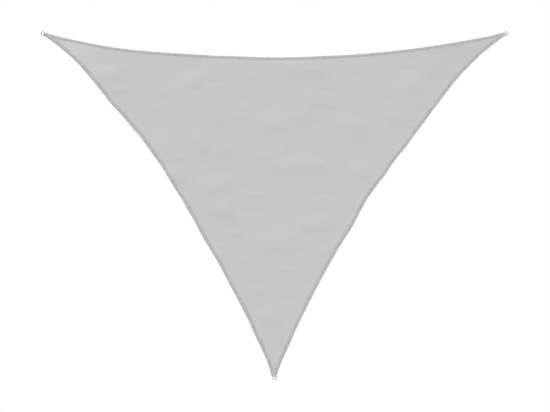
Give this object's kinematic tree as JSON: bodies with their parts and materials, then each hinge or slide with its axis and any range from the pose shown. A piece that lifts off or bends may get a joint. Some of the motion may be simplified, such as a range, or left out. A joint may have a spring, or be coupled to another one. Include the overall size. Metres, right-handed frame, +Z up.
{
  "type": "triangular shade sail",
  "caption": "Triangular shade sail of knitted grey cloth with hollow hemmed edges, a webbing loop and a bent wire ring at each corner, lying spread out.",
  "frame": {"origin": "on the ground under the middle of the sail's outline", "axes": "+X along the long edge from the left ring to the right ring, +Y from the bottom ring towards the long edge, +Z up from the ground"},
  "size_m": [5.0456, 3.7602, 0.0096],
  "materials": {
    "sail_cloth": "matt knitted shade cloth, mid to light grey, the turned-over hem a little darker",
    "corner_webbing": "matt woven webbing, grey",
    "ring_steel": "plain bright stainless wire, lightly brushed"
  },
  "bodies": {
    "root": {"sail_cloth": "sail_cloth", "corner_loop_left": "corner_webbing", "corner_loop_right": "corner_webbing", "corner_loop_bottom": "corner_webbing", "ring_left": "ring_steel", "ring_right": "ring_steel", "ring_bottom": "ring_steel"}
  },
  "joints": []
}
